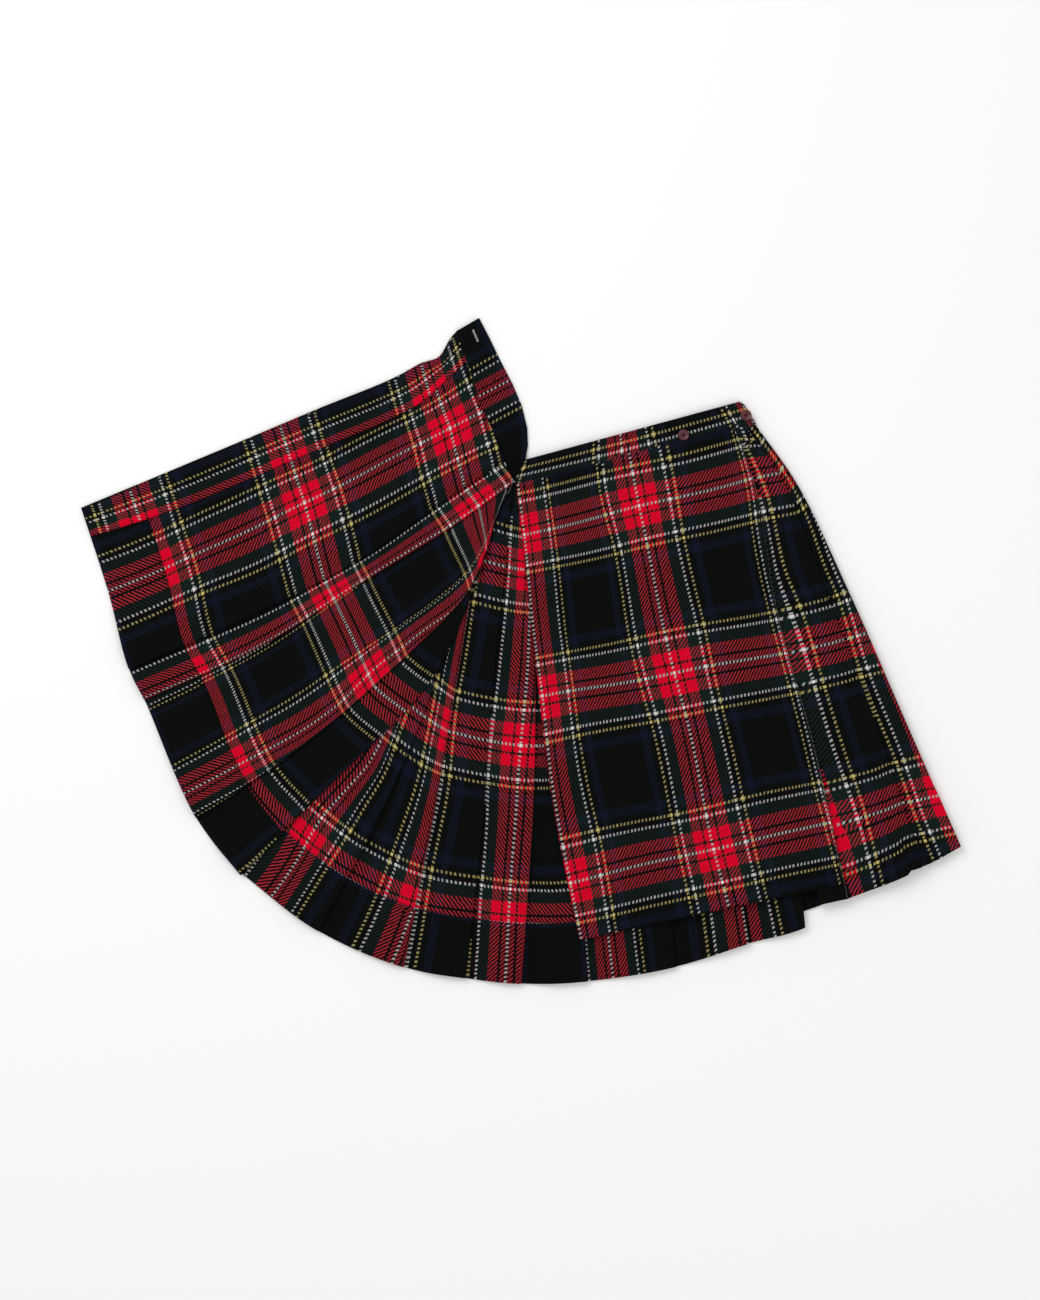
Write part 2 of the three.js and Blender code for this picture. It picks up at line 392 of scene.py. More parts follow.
def line(name, waist, yoke, upper, lower, hem, waistDepth=0, hemDepth=0, drop=0):
    # One row down the cloth: its five places, how deep its pleat turns under and how far its hem drops.
    return {
        "name": name,
        "places": [waist, yoke, upper, lower, hem],
        "waistDepth": waistDepth,
        "hemDepth": hemDepth,
        "drop": drop,
    }


def stationsOf(lines):
    # Places down the cloth from the waist seam to the hem edge, one point for each row.
    runs = []
    for row in lines:
        dense = catmullRom(row["places"], np.linspace(0, 1, 400))
        lengths = np.concatenate([[0], np.cumsum(np.linalg.norm(np.diff(dense, axis=0), axis=1))])
        runs.append((dense, lengths))
    turnUp = cloth["hemTurnUp"]
    gap = -cloth["tuck"]
    stations = []
    bodyShares = np.concatenate([cloth["seamPlaces"], np.linspace(0.016, 1, cloth["bodyStations"])])
    hemPlaces = np.linspace(turnUp, cloth["hemFold"], cloth["hemStations"])[1:]
    for inHem, value in [(False, s) for s in bodyShares] + [(True, h) for h in hemPlaces]:
        points = []
        along = []
        fromHem = []
        for dense, lengths in runs:
            total = lengths[-1]
            distance = total - value if inHem else gap + value * (total - gap - turnUp)
            held = max(distance, 1.0)
            at = [np.interp(held + step, lengths, dense[:, k]) for step in (0, -1) for k in (0, 1)]
            direction = np.array(at[:2]) - np.array(at[2:])
            direction /= np.linalg.norm(direction)
            points.append(np.array(at[:2]) + direction * (distance - held))
            along.append(direction)
            fromHem.append(total - distance)
        if inHem:
            index = np.interp(-value, [-turnUp, -40, 0], [9, 10, 11])
        else:
            index = np.interp(value, cloth["stepPlaces"], range(9))
        wall = cloth["hemWall"]
        if not inHem:
            wall = lerp(cloth["wall"], cloth["hemWall"], smoothStep(0.985, 1, value))
        stations.append({
            "points": np.array(points),
            "along": np.array(along),
            "fromHem": np.array(fromHem),
            "down": index / 11,
            "inHem": inHem,
            "wall": float(wall),
        })
    return stations


def chartedLine(grid, points):
    # The share across a panel at which a charted line runs, for every station.
    spans = grid.shape[1] - 1
    found = []
    for px, py in points:
        target = np.array(fromPhoto(px, py))
        gaps = np.linalg.norm(grid - target, axis=2)
        row, column = np.unravel_index(np.argmin(gaps), gaps.shape)
        i = min(max(row, 1), len(grid) - 2)
        k = min(max(column, 1), spans - 1)
        acrossStep = (grid[i, k + 1] - grid[i, k - 1]) / 2
        downStep = (grid[i + 1, k] - grid[i - 1, k]) / 2
        move = np.linalg.solve(np.array([acrossStep, downStep]).T, target - grid[row, column])
        found.append((row + move[1], (column + move[0]) / spans))
    found.sort()
    places = np.array([place for place, share in found])
    shares = np.array([share for place, share in found])
    wide = min(len(places), 3)
    before = (shares[wide - 1] - shares[0]) / (places[wide - 1] - places[0])
    after = (shares[-1] - shares[-wide]) / (places[-1] - places[-wide])
    steps = np.arange(len(grid))
    run = np.interp(steps, places, shares)
    run += np.maximum(np.minimum(steps - places[0], 0), -15) * before
    run += np.minimum(np.maximum(steps - places[-1], 0), 15) * after
    padded = np.pad(run, 5, mode="reflect", reflect_type="odd")
    blur = np.array([1, 2, 3, 4, 5, 6, 5, 4, 3, 2, 1]) / 36
    return np.convolve(padded, blur, mode="valid")


def warpReadings(lines, stations, charts):
    # For each panel, the share across it and the warp value of every charted line, by station.
    spots = np.linspace(0, 1, 41)
    last = len(lines) - 1
    downs = np.array([station["down"] for station in stations])
    readings = []
    for panel, chart in enumerate(charts):
        grid = np.array([catmullRom(station["points"], (panel + spots) / last) for station in stations])
        found = []
        for share, values in chart.get("edges", []):
            edgeValues = np.interp(downs, cloth["rowPlaces"], values)
            found.append((np.full(len(stations), float(share)), edgeValues))
        for value, points in chart.get("lines", []):
            found.append((chartedLine(grid, points), np.full(len(stations), float(value))))
        readings.append((found, chart.get("pace", 1.0)))
    return readings


def warpAt(reading, station, shares, wide):
    # Warp values in pixels at shares across one panel, which is wide millimetres across.
    found, pace = reading
    known = sorted((float(share[station]), float(value[station])) for share, value in found)
    places = [k[0] for k in known]
    values = [k[1] for k in known]
    return beyond(np.asarray(shares, float), places, values, wide / pixel / pace)


def weftAt(fromHem, rowPlaces, readings, eased=1.0):
    # Weft value in setts, from each row's readings of how far up from the hem its red middles lie.
    slope = 1 / (sett * pixel)
    values = np.zeros_like(fromHem)
    for row, places in enumerate(readings):
        near = np.clip(1 - np.abs(rowPlaces - row), 0, 1)
        pastLast = np.maximum(fromHem - places[-1] * pixel, 0)
        reading = beyond(fromHem, np.array(places) * pixel, range(len(places)), slope)
        values += near * (reading - pastLast * slope * (1 - eased))
    return values


def slack(x, y, start):
    # The weave never lies quite straight: a small drift of the pattern, in setts.
    drift = np.sin(x / 23 + start) * np.sin(y / 61 + 2 * start) + 0.6 * np.sin(y / 29 + x / 71 + 5 * start)
    return 0.005 * drift


def layerPitch(down):
    pitch = lerp(cloth["layerPitch"], cloth["hemPitch"], smoothStep(0.4, 0.7, down))
    return pitch * lerp(0.62, 1, smoothStep(0.004, 0.03, down))


def acrossPleats(lines, charts, readings, counts, turnUnder, number, station):
    # One run of points across the pleats: how far along, in which layer, aside, dropped, and the warp.
    last = len(lines) - 1
    points = station["points"]
    down = station["down"]
    radius = layerPitch(down) / 2
    arc = np.linspace(90, -90, 7)[1:-1] * math.pi / 180
    reach = []
    layer = []
    aside = []
    drop = []
    warp = []

    def add(row, shares, layers, sides, drops, values):
        for column, value in ((layer, layers), (aside, sides), (drop, drops), (warp, values)):
            column.extend(np.broadcast_to(value, np.shape(shares)))
        reach.extend((row + np.asarray(shares)) / last)

    for row in range(last):
        start = lines[row]
        to = lines[row + 1]
        wide = np.linalg.norm(points[row + 1] - points[row])
        depth = min(lerp(to["waistDepth"], to["hemDepth"], down**1.5), wide - 12)
        pleated = to["hemDepth"] > 0
        first = cloth["foldMargin"] / wide if start["hemDepth"] > 0 else 0.0
        end = 1 - (depth + cloth["foldMargin"]) / wide if pleated else 1.0
        top = 2.0 if pleated else 0.0
        shares = np.linspace(first, end, counts[row] + 1)
        levels = top * smoothStep(first, end, shares)
        if row > 0 and start["hemDepth"] == 0:
            shares = shares[1:]
            levels = levels[1:]
        values = warpAt(readings[row], number, shares, wide)
        add(row, shares, levels, 0.0, start["drop"] * (1 - shares), values)
        if not pleated:
            continue
        flat = np.linspace(end, 1 - 1.5 * radius / wide, 4)[1:]
        add(row, flat, 2.0, 0.0, 0.0, warpAt(readings[row], number, flat, wide))
        folded = float(warpAt(readings[row], number, [1.0], wide)[0])
        nextWide = np.linalg.norm(points[min(row + 2, last)] - points[row + 1])
        nextShare = cloth["foldMargin"] / nextWide
        opened = folded + 60
        if row + 1 < last:
            opened = float(warpAt(readings[row + 1], number, [nextShare], nextWide)[0])
        inner = 1 - depth / wide
        hidden = []
        hidden += [(1.0, 1.5 + 0.5 * math.sin(a), radius * (math.cos(a) - 1)) for a in arc]
        hidden += [(1 - t * depth / wide, 1.0, radius * (2 * t - 1)) for t in (0.0, 0.5, 1.0)]
        hidden += [(inner, 0.5 + 0.5 * math.sin(a), radius * (1 - math.cos(a))) for a in arc]
        hidden += [(inner + t * depth / wide, 0.0, radius * (1 - t)) for t in (0.0, 0.5, 1.0)]
        way = (np.arange(len(hidden)) + 1) / (len(hidden) + 1)
        inside = charts[row].get("innerFold", (folded + opened) / 2)
        paces = np.interp(way, [0, 0.5, 0.8, 1], [folded, inside, opened, opened])
        columns = np.array(hidden)
        add(row, columns[:, 0], columns[:, 1], columns[:, 2], to["drop"], paces)
    if turnUnder > 0:
        wide = np.linalg.norm(points[last] - points[last - 1])
        edge = float(warpAt(readings[last - 1], number, [1.0], wide)[0])
        for column in (reach, layer, aside, drop, warp):
            column.pop()
        for a in np.linspace(90, -90, 9) * math.pi / 180:
            add(last - 1, [1.0], -0.5 + 0.5 * math.sin(a), radius * (math.cos(a) - 1), 0.0, edge)
        back = np.linspace(0, 1, 4)[1:] * turnUnder
        add(last - 1, 1 - (back + radius) / wide, -1.0, 0.0, 0.0, edge + back / pixel)
    return [np.array(column) for column in (reach, layer, aside, drop, warp)]


def withHem(stations, middle, along, warpMap, weftMap, rowPlaces, sign):
    # Adds the hem's second layer: round the fold at the hem edge and back up behind.
    across = np.gradient(middle, axis=1)
    below = np.gradient(middle, axis=0)
    normal = np.cross(below, across)
    normal /= np.maximum(np.linalg.norm(normal, axis=2), 1e-9)[:, :, None]
    walls = np.array([s["wall"] for s in stations])
    away = ((walls - cloth["wall"]) / 2)[:, None, None] * normal
    outer = middle + sign * away
    turned = middle - sign * away
    edge = middle[-1]
    edgeNormal = normal[-1] * sign * cloth["hemFold"]
    ahead = np.column_stack([along, np.zeros(len(along))])
    hemFold = []
    foldWeft = []
    for a in np.linspace(90, -90, 7)[1:-1] * math.pi / 180:
        hemFold.append(edge + ahead * cloth["hemFold"] * math.cos(a) + edgeNormal * math.sin(a))
        foldWeft.append(np.full(len(edge), cloth["hemFold"] * math.sin(a)))
    first = [station["inHem"] for station in stations].index(True) - 1
    grid = np.concatenate([outer, hemFold, turned[:first - 1:-1]])
    warpMap = np.concatenate([warpMap, [warpMap[-1]] * len(hemFold), warpMap[:first - 1:-1]])
    weftMap = np.concatenate([weftMap, foldWeft, -weftMap[:first - 1:-1]])
    rowPlaces = np.concatenate([rowPlaces, [rowPlaces[-1]] * len(hemFold), rowPlaces[:first - 1:-1]])
    return grid, warpMap, weftMap, rowPlaces


def pleatedPiece(name, lines, charts, weftPlaces, material, options):
    # A pleated stretch of cloth. Each pleat turns under at its row and comes out below it.
    print(name, "runs from", lines[0]["name"], "to", lines[-1]["name"])
    stations = stationsOf(lines)
    readings = warpReadings(lines, stations, charts)
    last = len(lines) - 1
    hemPoints = stations[-1]["points"]
    counts = []
    for row in range(last):
        space = cloth["hiddenSpacing"] if options["hidden"](row) else cloth["spacing"]
        width = np.linalg.norm(hemPoints[row + 1] - hemPoints[row])
        counts.append(max(4, int(round(width / space))))
    middle = []
    warpMap = []
    weftMap = []
    rowPlaces = []
    for number, station in enumerate(stations):
        points = station["points"]
        down = station["down"]
        reach, layer, aside, drop, warp = acrossPleats(
            lines, charts, readings, counts, options["turnUnder"], number, station
        )
        place = catmullRom(points, reach)
        step = catmullRom(points, reach + 1e-3) - catmullRom(points, reach - 1e-3)
        side = step / np.linalg.norm(step, axis=1)[:, None]
        rows = np.clip(reach, 0, 1) * last
        along = np.array([np.interp(rows, range(last + 1), station["along"][:, k]) for k in (0, 1)]).T
        place = place + along * (drop * down**4)[:, None]
        fromEdge = np.linalg.norm(place - points[last], axis=1)
        place = place + side * aside[:, None]
        wall = station["wall"]
        under = cloth["hemWall"] - wall / 2 if options["hemBelow"] else wall / 2
        z = options["base"](down) + options["lift"](fromEdge, down) + layer * layerPitch(down) + under
        middle.append(np.column_stack([place, z]))
        warpMap.append(warp)
        weftMap.append(np.interp(rows, range(last + 1), station["fromHem"]))
        rowPlaces.append(rows)
    sign = 1.0 if options["hemBelow"] else -1.0
    grid, warpMap, weftMap, rowPlaces = withHem(
        stations, np.array(middle), along, np.array(warpMap), np.array(weftMap), np.array(rowPlaces), sign
    )
    x = grid[:, :, 0].copy()
    y = grid[:, :, 1].copy()
    grid[:, :, 2] += raised(x, y)
    drawnIn(grid, options.get("pulls", []))
    weft = weftAt(weftMap, rowPlaces, weftPlaces, options.get("eased", 1.0)) + slack(y, x, 0.7)
    warpMap = warpMap + slack(x, y, 0.0) * sett
    return sheetObject(name, grid, warpMap / sett, weft, cloth["ply"], material)


def sheetObject(name, grid, u, v, thickness, material):
    # A grid of points, made into one closed wall of cloth with the cloth map on it.
    rows, columns = grid.shape[:2]
    world = (grid + np.array([shift[0], shift[1], 0.0])) * mm
    at = np.arange(rows * columns).reshape(rows, columns)
    faces = np.stack([at[:-1, :-1], at[1:, :-1], at[1:, 1:], at[:-1, 1:]], axis=-1).reshape(-1, 4)
    mesh = bpy.data.meshes.new(name)
    mesh.from_pydata(world.reshape(-1, 3).tolist(), [], faces.tolist())
    clothMap = mesh.uv_layers.new(name="cloth")
    corners = faces.reshape(-1)
    uv = np.column_stack([np.asarray(u).reshape(-1)[corners], np.asarray(v).reshape(-1)[corners]])
    clothMap.data.foreach_set("uv", uv.reshape(-1))
    made = addObject(name, mesh, material)
    wall = made.modifiers.new("wall", "SOLIDIFY")
    wall.thickness = thickness * mm
    wall.offset = 0.0
    return made


# Over-apron, folded open, inside up

overApron = {
    "lines": [
        line("front edge", [-80, 399], [-138, 352], [-259, 300], [-404, 239], [-548, 179]),
        line("middle", [-46, 299], [-116, 264], [-231, 204], [-371, 136], [-514, 74]),
        line("first pleat", [-21, 235], [-90, 192], [-199, 116], [-341, 42], [-488, -22], 8, 20),
        line("second pleat", [-12, 207], [-81, 158], [-192, 89], [-326, 5], [-469, -60], 8, 18),
        line("third pleat", [-26, 179], [-63, 79], [-139, -3], [-268, -115], [-404, -208], 5, 20),
        line("rolled edge", [-38, 151], [-55, 84], [-116, -42], [-231, -160], [-349, -279]),
    ],
    "charts": [
        {"edges": [(0, [-92, -96, -98, -100, -100]), (1, [0] * 5)]},
        {"edges": [(0, [0] * 5), (1, [60, 72, 84, 88, 88])]},
        {"edges": [(0, [132, 132, 132, 132, 133]), (1, [176, 175, 175, 172, 172])]},
        {
            "edges": [(0, [212, 212, 212, 200, 190])],
            "lines": [
                (299, [(172, 764), (247, 721), (331, 668), (367, 645), (404, 622), (461, 577)]),
                (322, [(179, 777), (254, 736), (340, 683), (373, 654), (408, 626), (465, 581)]),
                (344, [(186, 793), (245, 762), (345, 700), (375, 667), (401, 648), (430, 625), (466, 599)]),
            ],
            "pace": 0.65,
        },
        {"edges": [(0, [410, 408, 402, 404, 404]), (1, [430, 432, 454, 468, 478])]},
    ],
    "weft": [
        [52, 215, 374], [52, 215, 378], [52, 215, 382], [52, 215, 386], [54, 222, 400], [56, 232, 416],
    ],
}


def flapHeight(fromEdge, down):
    lying = 30 + 70 * (1 - smoothStep(0.05, 0.35, down))
    return 6.2 * (1 - smoothStep(lying, lying + 40, fromEdge))


overApronPiece = pleatedPiece(
    "over_apron_cloth",
    overApron["lines"],
    overApron["charts"],
    overApron["weft"],
    insideTartan,
    {
        "base": lambda down: 0.0,
        "lift": flapHeight,
        "hemBelow": False,
        "turnUnder": 14,
        "hidden": lambda row: False,
        "pulls": overApronPulls,
        "eased": 1.0,
    },
)
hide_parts("over_apron")
print("over-apron is made")


# Pleated back, inside up

back = {
    "lines": [
        line("left seam", [-54, 178], [-86, 101], [-135, -19], [-252, -139], [-356, -271]),
        line("pleat 1", [-38, 196], [-68, 107], [-102, -25], [-168, -191], [-252, -349], 5, 20),
        line("pleat 2", [-20, 209.8], [-52, 113], [-79, -36], [-110, -214], [-146, -394], 5, 8),
        line("pleat 3", [-8, 207.3], [-18, 111], [-34, -42], [-48, -225], [-69, -408], 8, 24),
        line("pleat 4", [14, 207.6], [15, 112], [19, -44], [15, -229], [1, -415], 8, 14),
        line("pleat 5", [52, 217.9], [55, 122], [61, -34], [70, -221], [84, -412], 16, 30),
        line("pleat 6", [119, 235.9], [130, 144], [149, -14], [171, -204], [194, -394], 22, 26),
        line("pleat 7", [185, 253.7], [200, 162], [225, 8], [255, -179], [285, -365], 22, 26),
        line("pleat 8", [231, 266], [250, 178], [281, 24], [319, -160], [358, -344], 18, 20, -20),
        line("right side", [287, 280.4], [336, 205], [401, 76], [471, -82], [541, -238]),
    ],
    "charts": [
        {"lines": [
            (516, [(268, 900), (300, 858), (320, 820), (350, 785), (370, 765), (386, 735), (396, 705),
                   (404, 680)]),
            (553.5, [(293, 916), (340, 842), (370, 790), (383, 773), (392, 745), (401, 722), (408, 700),
                     (414, 680)]),
        ]},
        {"edges": [(1, [684, 684, 682, 680, 700])], "lines": [
            (650.5, [(355, 951), (392, 865), (421, 780), (430, 740), (438, 700), (444, 660), (453, 630)]),
        ]},
        {"lines": [
            (730, [(415, 970), (443, 820), (450, 780), (454, 740), (457, 705), (469, 640), (475, 600),
                   (480, 570), (484, 545), (486, 530)]),
        ]},
        {"lines": [
            (827, [(476, 977), (481, 900), (489, 780), (497, 700), (503, 640), (508, 600), (510, 560),
                   (513, 500)]),
            (860, [(505, 981), (512, 850), (518, 780), (524, 700), (530, 620)]),
        ]},
        {"edges": [(0, [920, 918, 916, 914, 912]), (1, [960, 965, 970, 975, 980])]},
        {"edges": [(0, [995] * 5), (1, [1114] * 5)],
         "lines": [(1032, [(608, 935), (613, 975)])]},
        {"edges": [(1, [1205] * 5)]},
        {"edges": [(0, [1210] * 5), (1, [1268] * 5)]},
        {"edges": [(0, [1300] * 5)]},
    ],
    "weft": [[58, 239, 412]] * 10,
}

backPiece = pleatedPiece(
    "back_cloth",
    back["lines"],
    back["charts"],
    back["weft"],
    insideTartan,
    {
        "base": lambda down: 0.0,
        "lift": lambda fromEdge, down: 0.0,
        "hemBelow": False,
        "turnUnder": 0,
        "hidden": lambda row: row > 4,
    },
)
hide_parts("back_pleats")
print("back is made")


# Under-apron, outside up

underApron = {
    "lines": [
        line("free edge", [-5, 209], [5, 121], [20, -21], [41, -191], [74, -360]),
        line("side pleat 1", [268, 276.6], [296, 195], [320, 51], [366, -118], [404, -289], 10, 46, 20),
        line("side pleat 2", [282, 280], [331, 205], [384, 65], [446, -100], [500, -269], 5, 20),
        line("right side", [293, 282.7], [346, 207], [408, 78], [478, -82], [549, -244]),
    ],
    "charts": [
        {
            "edges": [(0, [-3] * 5)],
            "lines": [
                (33, [(544, 490), (554, 570), (562, 645), (572, 735), (592, 835), (607, 922)]),
                (130, [(596, 440), (600, 500), (614, 554), (630, 645), (652, 732), (672, 820), (690, 910)]),
                (172, [(624, 430), (640, 512), (665, 635), (687, 722), (712, 847), (727, 907)]),
                (205, [(650, 424), (660, 460), (674, 528), (697, 630), (715, 707), (735, 805), (757, 890)]),
                (302, [(728, 410), (740, 463), (750, 527), (768, 610), (790, 697), (813, 790), (837, 880)]),
            ],
            "innerFold": 250,
        },
        {"edges": [(0, [371, 371, 370, 362, 350])], "lines": [
            (381.5, [(767, 513), (780, 567), (797, 607), (817, 680), (840, 750), (853, 790), (873, 863)]),
        ]},
        {"lines": [
            (478.5, [(807, 510), (827, 567), (840, 593), (860, 663), (873, 700), (900, 763), (917, 813),
                     (933, 853)]),
        ]},
    ],
    "weft": [[58, 245, 408], [62, 237, 414], [66, 240, 417], [56, 233, 419]],
}


def underApronBase(down):
    overPleats = 3.6 * smoothStep(0.3, 0.6, down)
    intoBand = 1.3 * (1 - smoothStep(0.004, 0.03, down))
    return 4.7 + overPleats - intoBand


underApronPiece = pleatedPiece(
    "under_apron_cloth",
    underApron["lines"],
    underApron["charts"],
    underApron["weft"],
    outsideTartan,
    {
        "base": underApronBase,
        "lift": lambda fromEdge, down: 0.0,
        "hemBelow": True,
        "turnUnder": 10,
        "hidden": lambda row: False,
    },
)
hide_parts("under_apron")
print("under-apron is made")


# Facing strip along the over-apron's free edge

facing = {
    "widthShare": [0.36, 0.42, 0.5, 0.5, 0.48, 0.46, 0.45, 0.44, 0.41, 0.41, 0.38, 0.34],
    "start": 0.02,
    "steps": 12,
    "freeEdge": 58,
    "innerEdge": 11,
    "weft": [52, 215, 369],
}


def facingPiece():
    grid = []
    u = []
    v = []
    stations = stationsOf(overApron["lines"][:3])
    for station in stations:
        widest = np.interp(station["down"] * 11, range(12), facing["widthShare"])
        shares = np.linspace(facing["start"], widest, facing["steps"] + 1)
        place = catmullRom(station["points"], shares / 2)
        bottom = station["wall"] + cloth["layerGap"]
        z = np.full(len(shares), bottom + cloth["wall"] / 2)
        grid.append(np.column_stack([place, z]))
        part = (shares - shares[0]) / (shares[-1] - shares[0])
        u.append(lerp(facing["freeEdge"], facing["innerEdge"], part) / sett)
        fromHem = np.full(len(shares), station["fromHem"][0])
        v.append(beyond(fromHem, np.array(facing["weft"]) * pixel, [0, 1, 2], 1 / (sett * pixel)))
    grid = np.array(grid)
    grid[:, :, 2] += raised(grid[:, :, 0], grid[:, :, 1])
    drawnIn(grid, overApronPulls)
    return sheetObject("facing_cloth", grid, np.array(u), np.array(v), cloth["ply"], insideTartan)


facingStrip = facingPiece()
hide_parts("front_facing")
print("facing is made")


# Waistband

band = {
    "thick": 3.2,
    "width": 36,
    "inset": 0.05,
    "cornerRound": 0.14,
    "stations": [
        ([-51, 416], [-79.6, 399.6]),
        ([-38, 391], [-71, 374.7]),
        ([-25, 364], [-60.5, 343.6]),
        ([-9, 333], [-50, 312.4]),
        ([2, 307], [-39.3, 284.8]),
        ([9, 279], [-30, 260.4]),
        ([10, 257], [-21.5, 238]),
        ([7, 240], [-14, 221]),
        ([7.6, 238.5], [-5, 211]),
        ([9, 238], [6, 206.8]),
        ([30, 244], [22, 209.8]),
        ([276, 312], [294, 283]),
    ],
    "frontEnd": ([3, 238], [-7, 208.5]),
    "frontLength": 235,
    "endPlaces": [0, 40, 48, 69, 91, 99, 150],
    "endWarp": [-92, -42, -33, 0, 33, 42, 98],
    "frontPlaces": [0, 77, 106, 133, 214, 227],
    "frontWarp": [36, 130, 172, 205, 302, 320],
    "topWeft": 50.5,
}


def bandPiece():
    tops = np.array([s[0] for s in band["stations"]], float)
    seams = np.array([s[1] for s in band["stations"]], float)
    path = []
    for first in range(len(tops) - 1):
        gap = np.linalg.norm((tops[first + 1] + seams[first + 1] - tops[first] - seams[first]) / 2)
        for share in np.linspace(0, 1, max(2, int(gap / 6)) + 1)[:-1]:
            top = lerp(tops[first], tops[first + 1], share)
            seam = lerp(seams[first], seams[first + 1], share)
            path.append((top, seam))
    straight = tops[-1] - tops[-2]
    ahead = straight / np.linalg.norm(straight)
    radius = (band["thick"] + cloth["layerGap"]) / 2
    low = band["thick"] / 2
    rings = [(top, seam, low, np.array([0.0, 0.0, 1.0])) for top, seam in path]
    for angle in np.linspace(0, 180, 9) * math.pi / 180:
        out = ahead * radius * (math.sin(angle) - 1)
        tilt = np.array([-ahead[0] * math.sin(angle), -ahead[1] * math.sin(angle), math.cos(angle)])
        top = lerp(tops[-1], seams[-1], band["cornerRound"] * math.sin(angle) ** 2)
        rings.append((top + out, seams[-1] + out, low + radius * (1 - math.cos(angle)), tilt))
    frontTop, frontSeam = (np.array(p, float) for p in band["frontEnd"])
    for share in np.linspace(0, 1, 46)[1:]:
        top = lerp(tops[-1] - ahead * radius, frontTop, share)
        seam = lerp(seams[-1] - ahead * radius, frontSeam, share)
        rings.append((top, seam, low + 2 * radius, np.array([0.0, 0.0, -1.0])))

    # One turn round the band: up the inside, over the top fold and down the outside.
    half = band["thick"] / 2 - band["inset"]
    loop = [(share, half) for share in (0.0, 0.03, 0.1, 0.25, 0.4, 0.55, 0.7, 0.85, 0.93)]
    for a in (1.1, 0.6, 0, -0.6, -1.1):
        loop.append((1 - half / band["width"] * (1 - math.cos(a)), half * math.sin(a)))
    loop += [(share, -half) for share in (0.93, 0.85, 0.7, 0.55, 0.4, 0.25, 0.1, 0.03, 0.0)]
    centres = np.array([(top + seam) / 2 for top, seam, z, tilt in rings])
    lengths = np.concatenate([[0], np.cumsum(np.linalg.norm(np.diff(centres, axis=0), axis=1))])
    fromStart = lengths / pixel
    fromFront = (lengths[-1] - lengths) / pixel
    u = np.where(
        fromFront < band["frontLength"],
        beyond(fromFront, band["frontPlaces"], band["frontWarp"], 1.0),
        beyond(fromStart, band["endPlaces"], band["endWarp"], 1.0),
    )
    verts = []
    values = []
    for number, (top, seam, z, tilt) in enumerate(rings):
        wide = np.linalg.norm(top - seam)
        for share, out in loop:
            # The seams pinch the lower edge and the cloth between fills out a little.
            puff = 0.82 + 0.18 * math.sin(math.pi * min(max(share, 0.02), 0.98))
            place = lerp(seam, top, share)
            spot = np.array([place[0], place[1], z]) + tilt * out * puff
            spot[2] += raisedAt(place[0], place[1])
            verts.append(spot)
            below = (1 - share) * wide / pixel
            weft = band["topWeft"] + (below if out > 0 else -below)
            values.append((u[number] / sett, weft / sett))
    return verts, values, len(rings), len(loop)


def bandObject():
    verts, values, ringCount, loopCount = bandPiece()
    faces = []
    for i in range(ringCount - 1):
        for j in range(loopCount):
            a = i * loopCount + j
            b = i * loopCount + (j + 1) % loopCount
            faces.append((a, b, b + loopCount, a + loopCount))
    faces.append(tuple(range(loopCount))[::-1])
    faces.append(tuple((ringCount - 1) * loopCount + j for j in range(loopCount)))
    mesh = bpy.data.meshes.new("waistband_cloth")
    mesh.from_pydata(toWorld(verts), [], faces)
    clothMap = mesh.uv_layers.new(name="cloth")
    corners = [c for face in faces for c in face]
    clothMap.data.foreach_set("uv", np.array([values[c] for c in corners]).reshape(-1))
    made = addObject("waistband_cloth", mesh, bandTartan)
    shape = bmesh.new()
    shape.from_mesh(mesh)
    bmesh.ops.recalc_face_normals(shape, faces=shape.faces)
    shape.to_mesh(mesh)
    shape.free()
    return made


bandCloth = bandObject()
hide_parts("waistband")
print("waistband is made")


# Buttons

buttons = {
    "places": [(204, 269.5), (282, 294)],
    "turns": [0.35, 0.9],
    "radius": 6.9,
    "underside": 7.1,
    "thick": 2.6,
    "holeRadius": 0.9,
    "holeOffset": 1.9,
    "threadRadius": 0.34,
    "colour": (0.070, 0.004, 0.009),
    "thread": (0.05, 0.006, 0.010),
}


def addTube(verts, faces, points, radius, sides):
    # Adds the vertices and faces of a round cord through points.
    points = np.asarray(points, float)
    last = len(points) - 1
    offset = len(verts)
    for i, point in enumerate(points):
        along = points[min(i + 1, last)] - points[max(i - 1, 0)]
        along = along / np.linalg.norm(along)
        side = np.cross(along, [0.0, 0.0, 1.0])
        side = side / max(np.linalg.norm(side), 1e-6)
        up = np.cross(side, along)
        for k in range(sides):
            a = 2 * math.pi * k / sides
            verts.append(point + radius * (side * math.cos(a) + up * math.sin(a)))
    for i in range(last):
        for k in range(sides):
            a = offset + i * sides + k
            b = offset + i * sides + (k + 1) % sides
            faces.append((a, a + sides, b + sides, b))
    faces.append(tuple(offset + k for k in range(sides)))
    faces.append(tuple(offset + last * sides + k for k in range(sides))[::-1])


